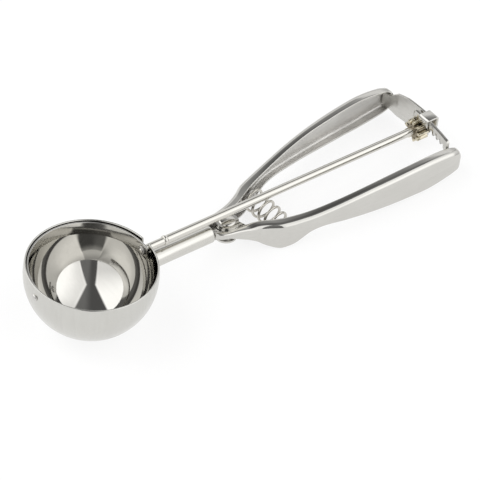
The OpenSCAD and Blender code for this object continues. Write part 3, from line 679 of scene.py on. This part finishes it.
def flank(r):
    """Half the angle that a tooth takes up at a radius."""
    half = (GEAR_M * pi / 2 - BACKLASH) / 2 / PITCH_R
    return half + involute(PRESSURE) - involute(acos(min(BASE_R / max(r, BASE_R), 1)))


radii = [BASE_R + (TIP_R - BASE_R) * i / 6 for i in range(7)]
half_tooth = [(ROOT_R, flank(BASE_R) + 0.02)] + [(r, flank(r)) for r in radii]
tooth = [(r, -a) for r, a in half_tooth] + half_tooth[::-1]
outline = [(r * sin(2 * pi * k / TEETH + a), r * cos(2 * pi * k / TEETH + a))
           for k in range(TEETH) for r, a in tooth]
bore = [(ROD_R * sin(a), ROD_R * cos(a)) for a in sweep(0, 2 * pi, 48)[:-1]]
gear = bmesh.new()
face_edges = ([], [])
for loop in (outline, bore):
    sides = [[gear.verts.new((x, y, z)) for y, z in loop] for x in (PINION_X, ROD_END_X)]
    for j in range(len(loop)):
        gear.faces.new([sides[0][j - 1], sides[0][j], sides[1][j], sides[1][j - 1]])
        for edges, side in zip(face_edges, sides):
            edges.append(gear.edges.get((side[j - 1], side[j])))
for edges in face_edges:
    bmesh.ops.triangle_fill(gear, use_beauty=True, use_dissolve=False, edges=edges)
gear.verts.index_update()
points = [tuple(v.co) for v in gear.verts]
faces = [tuple(v.index for v in f.verts) for f in gear.faces]
gear.free()
mesh_piece("gear", points, faces, pinion_plate, "sweeper", "pinion", sharp=30,
           round_edges=0.12)

# ---- Sweeper blade ---------------------------------------------------------------------------
# A strip of spring steel bent to a half ring lies close to the bowl's wall on the far side.
# Its ends are square and run on past the rod's axis, with an eye in each; it is polished.
BLADE_W, BLADE_T = 7.0, 0.8
BLADE_OUT = INNER_R - 0.6
BLADE_IN = BLADE_OUT - BLADE_T
BLADE_EDGE = 0.22
PARK = radians(2)
blade_polish = metal("blade polish", (0.62, 0.61, 0.585), (0.57, 0.56, 0.535), 0.06, 0.04,
                     grain=(1, 1, 0.05), grain_size=900, grain_depth=0.001, dull=0.02)
past_axis = asin(BLADE_W / 2 / BLADE_OUT)
high = BLADE_W / 2 - BLADE_EDGE
section = []
for r, z, start in ((BLADE_OUT - BLADE_EDGE, high, 0), (BLADE_IN + BLADE_EDGE, high, pi / 2),
                    (BLADE_IN + BLADE_EDGE, -high, pi), (BLADE_OUT - BLADE_EDGE, -high, 3 * pi / 2)):
    section += [(r + BLADE_EDGE * cos(a), z + BLADE_EDGE * sin(a)) for a in sweep(start, start + pi / 2, 4)]
bend = sweep(-past_axis, pi + past_axis, 160)
points = []
for a in bend:
    for r, z in section:
        x, y = r * cos(a), r * sin(a)
        points.append((x, y * cos(PARK) - z * sin(PARK), y * sin(PARK) + z * cos(PARK)))
faces = skin(len(bend), len(section))
mesh_piece("blade_strip", points, faces, blade_polish, "sweeper", "sweeper_blade", sharp=50)
points, faces = turned(
    [(CORE_R, 26.72), (2.0, 26.72), (2.2, 26.9), (2.2, 27.6), (2.1, 27.65), (CORE_R, 27.65)], 48, round_x)
mesh_piece("tenon_washer", points, faces, plain_washer, "sweeper", "blade_washer")

# ---- Rack ------------------------------------------------------------------------------------
# A curved band stamped from 1.5 mm strip, with teeth cut along its lower edge. Its leg reaches
# into the near handle, where its foot is folded over and spot welded.
RACK_R, RACK_T = 112.0, 1.5
TOOTH_TIP_Z, TOOTH_ROOT_Z, RACK_TOP_Z = 3.9, 5.9, 8.7
LEG_Y, LEG_LOW_Z, FOOT_W, FOOT_T = -26.2, -5.0, 7.0, 1.0
RACK_BACKLASH = 0.2
rack_steel = metal("rack steel", (0.60, 0.59, 0.56), (0.50, 0.49, 0.46), 0.17, 0.08, grain=(1, 0.05, 1),
                   grain_size=1100, grain_depth=0.004, dull=0.05)


def band_piece(columns, radius, thickness):
    """A band round the pivot, from columns of (angle, lowest, highest)."""
    points, faces = [], []
    for a, low, high in columns:
        for r in (radius - thickness / 2, radius + thickness / 2):
            for z in (low, high):
                points.append((PIVOT_X + r * cos(a), r * sin(a), z))
    for i in range(len(columns) - 1):
        a, b = i * 4, i * 4 + 4
        for j, k in ((0, 1), (1, 3), (3, 2), (2, 0)):
            faces.append((a + j, b + j, b + k, a + k))
    for a in (0, 4 * len(columns) - 4):
        faces.append((a, a + 1, a + 3, a + 2))
    return points, faces


def at_y(y):
    return asin(y / RACK_R)


leg = [(LEG_Y, LEG_LOW_Z, 4.8), (-24, LEG_LOW_Z, 4.8), (-22.32, LEG_LOW_Z, 4.8), (-22.3, -4.98, 7.9),
       (-21.9, -4.6, 8.4), (-21.5, -4.2, 8.65), (-21.3, -4, RACK_TOP_Z), (-21.28, 2.6, RACK_TOP_Z),
       (-19.6, TOOTH_TIP_Z, RACK_TOP_Z)]
rounded_end = [(3.3, TOOTH_TIP_Z, RACK_TOP_Z), (3.7, TOOTH_TIP_Z, RACK_TOP_Z - 0.15),
               (4.0, TOOTH_TIP_Z + 0.1, RACK_TOP_Z - 0.55), (4.1, TOOTH_TIP_Z + 0.3, RACK_TOP_Z - 1.0)]
pitch_z = PITCH_R
half_gap = (GEAR_M * pi / 2 + RACK_BACKLASH) / 2
tip_half = (half_gap + (pitch_z - TOOTH_TIP_Z) * tan(PRESSURE)) / RACK_R
root_half = (half_gap - (TOOTH_ROOT_Z - pitch_z) * tan(PRESSURE)) / RACK_R
columns = [(at_y(y), low, high) for y, low, high in leg]
for gap in range(-6, 2):
    middle = gap * GEAR_M * pi / RACK_R
    corners = ((-tip_half, TOOTH_TIP_Z), (-root_half, TOOTH_ROOT_Z), (root_half, TOOTH_ROOT_Z),
               (tip_half, TOOTH_TIP_Z))
    columns += [(middle + a, z, RACK_TOP_Z) for a, z in corners if middle + a < at_y(3.2)]
columns += [(at_y(y), low, high) for y, low, high in rounded_end]
points, faces = band_piece(columns, RACK_R, RACK_T)
mesh_piece("toothed_band", points, faces, rack_steel, "lever", "rack", sharp=22,
           round_edges=0.1)
foot_a = at_y(LEG_Y)
foot_r = RACK_R + RACK_T / 2
foot = [(foot_r - FOOT_W, -0.05 - FOOT_T), (foot_r, -0.05 - FOOT_T), (foot_r, -0.05),
        (foot_r - FOOT_W, -0.05)]
foot = [(PIVOT_X + r * cos(foot_a) - s * sin(foot_a), r * sin(foot_a) + s * cos(foot_a)) for r, s in foot]
points, faces = plate(foot, LEG_LOW_Z + 0.4, 4.7)
mesh_piece("band_foot", points, faces, rack_steel, "lever", "rack_foot", round_edges=0.2)

# ---- End plate -------------------------------------------------------------------------------
# A curved plate across the far handle's end carries the tail of the rod. It is cut from 1.2 mm
# sheet and tapers into the handle, where it is spot welded.
PLATE_R, PLATE_T = 115.4, 1.2
plate_steel = metal("plate steel", (0.63, 0.62, 0.59), (0.56, 0.55, 0.52), 0.26, 0.08,
                    grain=(1, 0.06, 1), grain_size=1000, grain_depth=0.004, dull=0.05)
# Across the tool: position, lower edge, upper edge.
edges = [(-3.2, -3.6, 7.7), (-2.9, -4.1, 7.88), (-1, -5, 7.9), (1.5, -6, 7.9), (7, -6, 7.9), (12, -6, 7.9),
         (15.5, -6, 7.2), (17, -6, 6.9), (18.5, -5.7, 6.55), (20.5, -5.15, 4.85), (22.6, -4.6, 3.1),
         (24.5, -4.4, 2.9), (26.6, -4.2, 2.7)]
columns = []
for (y0, low0, high0), (y1, low1, high1) in zip(edges, edges[1:]):
    steps = max(1, ceil((y1 - y0) / 1.5))
    for t in [i / steps for i in range(steps)]:
        columns.append((asin((y0 + (y1 - y0) * t) / PLATE_R), low0 + (low1 - low0) * t,
                        high0 + (high1 - high0) * t))
columns.append((asin(edges[-1][0] / PLATE_R), *edges[-1][1:]))
points, faces = band_piece(columns, PLATE_R, PLATE_T)
mesh_piece("curved_plate", points, faces, plate_steel, "frame", "end_plate", sharp=22,
           round_edges=0.15)

# ---- Keeper clip -----------------------------------------------------------------------------
# A bent strip of 0.9 mm sheet, welded on the back of the end plate round the rod's tail. It
# reaches over the rack and keeps it down on the pinion.
CLIP_T, CLIP_FRONT_X, CLIP_TOP_Z, CLIP_BEND_R = 0.9, 185.4, 9.9, 1.4
CLIP_BACK_X = PIVOT_X + PLATE_R + PLATE_T / 2 + 0.1 + CLIP_T
CLIP_NEAR_Y, CLIP_FAR_Y = -7.0, -0.8
TAB_NEAR_Y, TAB_FAR_Y, TAB_HALF, TAB_CORNER = -3.2, 3.0, 3.0, 0.6
clip_steel = metal("clip steel", (0.66, 0.65, 0.62), (0.60, 0.59, 0.56), 0.2, 0.06, grain=(0.05, 1, 1),
                   grain_size=1200, grain_depth=0.003, dull=0.04)


def clip_side(offset):
    """The strip's path, seen from the side, from its front end over the rack to the tab behind."""
    r = CLIP_BEND_R - offset
    front, back, top = CLIP_FRONT_X + offset, CLIP_BACK_X - offset, CLIP_TOP_Z - offset
    bend = sweep(0, pi / 2, 6)
    path = [(front, 5.9)] + [(front + r - r * cos(a), top - r + r * sin(a)) for a in bend]
    path += [(back - r + r * sin(a), top - r + r * cos(a)) for a in bend]
    return path + [(back, TAB_HALF), (back, TAB_HALF - TAB_CORNER)]


points = []
for outer, inner in zip(clip_side(0), clip_side(CLIP_T)):
    points += [(x, y, z) for (x, z), y in ((outer, CLIP_NEAR_Y), (outer, CLIP_FAR_Y),
                                           (inner, CLIP_FAR_Y), (inner, CLIP_NEAR_Y))]
strip = (points, skin(len(points) // 4, 4))
corner_y = (TAB_NEAR_Y + TAB_CORNER, TAB_FAR_Y - TAB_CORNER)
corner_z = TAB_HALF - TAB_CORNER
tab_outline = [(corner_y[0], -TAB_HALF), (corner_y[1], -TAB_HALF), (TAB_FAR_Y, -corner_z),
               (TAB_FAR_Y, corner_z), (corner_y[1], TAB_HALF), (corner_y[0], TAB_HALF),
               (TAB_NEAR_Y, corner_z), (TAB_NEAR_Y, -corner_z)]
tab = ([(x, y, z) for x in (CLIP_BACK_X - CLIP_T, CLIP_BACK_X) for y, z in tab_outline],
       skin(2, len(tab_outline)))
points, faces = together(strip, tab)
mesh_piece("bent_clip", points, faces, clip_steel, "frame", "keeper_clip", round_edges=0.14)

# ---- Table, light and camera -----------------------------------------------------------------
# The scoop lies on a plain white table in a white room, under two large soft lights that nearly
# meet overhead. The dim ceiling between them ends at a pale wall, and both show in the bowl.
HEADING, DOWN = radians(37.2229), radians(46.3594)
SCALE, DISTANCE, PIXELS, SENSOR = 2.26548, 1450.0, 480, 36
AIM = Vector((63.718 - MIDDLE_X, -23.644, BALL_R)) / 1000
TABLE_HALF = 3.0
floor_mesh = bpy.data.meshes.new("table")
floor_mesh.from_pydata([(x * TABLE_HALF, y * TABLE_HALF, 0) for x, y in ((-1, -1), (1, -1), (1, 1), (-1, 1))],
                       [], [(0, 1, 2, 3)])
floor = bpy.data.objects.new("table", floor_mesh)
floor.location.z = -0.0001
bpy.context.scene.collection.objects.link(floor)
white = bpy.data.materials.new("white table")
white.use_nodes = True
nodes = Nodes(white.node_tree)
surface = white.node_tree.nodes["Principled BSDF"]
surface.inputs["Roughness"].default_value = 0.9
surface.inputs["Specular IOR Level"].default_value = 0.0
surface.inputs["Emission Strength"].default_value = 0.8
cloud = nodes.node("ShaderNodeTexNoise", {}, {"Scale": 3.0, "Detail": 2.0})
for socket, dim, bright in (("Base Color", 0.225, 0.235), ("Emission Color", 0.99, 1.0)):
    nodes.feed(surface, socket, nodes.node("ShaderNodeMix", {"data_type": "RGBA"}, {
        "Factor": cloud, 6: (dim, dim, dim, 1), 7: (bright, bright, bright, 1)}, take=2))
floor_mesh.materials.append(white)

room = bpy.data.worlds.new("room")
bpy.context.scene.world = room
room.use_nodes = True
nodes = Nodes(room.node_tree)
ray = nodes.node("ShaderNodeTexCoord", take="Generated")


def part_along(direction):
    return nodes.node("ShaderNodeVectorMath", {"operation": "DOT_PRODUCT"}, {0: ray, 1: direction},
                      take="Value")


# Across and away are how far to the side and how far off a thing overhead is, for its height.
LAMP_EDGE = (-0.03, 0.05)
WAIST, LEFT_AT_WAIST, RIGHT_AT_WAIST = -0.4, -0.08, 0.19
WALL_AWAY, WALL_LIGHT = (1.38, 1.52), 0.98
HORIZON_LIGHT = 0.62
up = part_along((0, 0, 1))
aloft = up.sum("MAXIMUM", up, 0.02)
across = part_along((cos(HEADING), -sin(HEADING), 0)) / aloft
away = part_along((sin(HEADING), cos(HEADING), 0)) / aloft
beyond_waist = away.sum("MAXIMUM", away - WAIST, 0)
before_waist = away.sum("MAXIMUM", WAIST - away, 0)
left_of_gap = LEFT_AT_WAIST - beyond_waist * 0.385 - before_waist * 0.15 - across
right_of_gap = across - (RIGHT_AT_WAIST + beyond_waist * 0.345 + before_waist * 0.43)
left_lamp = nodes.band(left_of_gap, *LAMP_EDGE) * (1.05 + 0.6 * nodes.band(away, -1.2, 0.1))
right_lamp = nodes.band(right_of_gap, *LAMP_EDGE) * (
    1.2 + 0.45 * nodes.band(right_of_gap, 0.0, 1.0) - 0.55 * nodes.band(away, 0.1, 1.6))
in_gap = nodes.band(left_of_gap, 0.12, 0.0) * nodes.band(right_of_gap, 0.12, 0.0)
ceiling = 0.11 + 0.1 * nodes.band(across, 0.0, 0.25) + 0.3 * nodes.band(away, 0.6, 1.3)
wall = nodes.band(away, *WALL_AWAY)
behind_lamps = ceiling * (1 - wall) + wall * WALL_LIGHT
light = (behind_lamps * in_gap + left_lamp + right_lamp) * (
    HORIZON_LIGHT + (1 - HORIZON_LIGHT) * nodes.band(up, 0.0, 0.45))
seen = nodes.node("ShaderNodeLightPath", take="Is Camera Ray")
background = room.node_tree.nodes["Background"]
background.inputs["Color"].default_value = (1.0, 1.0, 1.0, 1)
nodes.feed(background, "Strength", light * (1 - seen) + seen)

key = bpy.data.lights.new("key", "AREA")
key.shape = "SQUARE"
key.size = 0.9
key.energy = 3
lamp = bpy.data.objects.new("key", key)
lamp.location = (-0.75, 0.55, 1.5)
lamp.rotation_euler = (Vector((0, 0, 0)) - lamp.location).to_track_quat("-Z", "Y").to_euler()
lamp.visible_glossy = False
bpy.context.scene.collection.objects.link(lamp)

camera_data = bpy.data.cameras.new("camera")
camera_data.sensor_width = SENSOR
camera_data.lens = SCALE * DISTANCE / PIXELS * SENSOR
camera_data.clip_end = 20
camera = bpy.data.objects.new("camera", camera_data)
look = Vector((sin(HEADING) * cos(DOWN), cos(HEADING) * cos(DOWN), -sin(DOWN)))
right = Vector((cos(HEADING), -sin(HEADING), 0))
above = right.cross(look)
camera.matrix_world = Matrix.Translation(AIM - look * DISTANCE / 1000) @ Matrix(
    (right, above, -look)).transposed().to_4x4()
bpy.context.scene.collection.objects.link(camera)
bpy.context.scene.camera = camera
bpy.context.scene.view_settings.view_transform = "Standard"
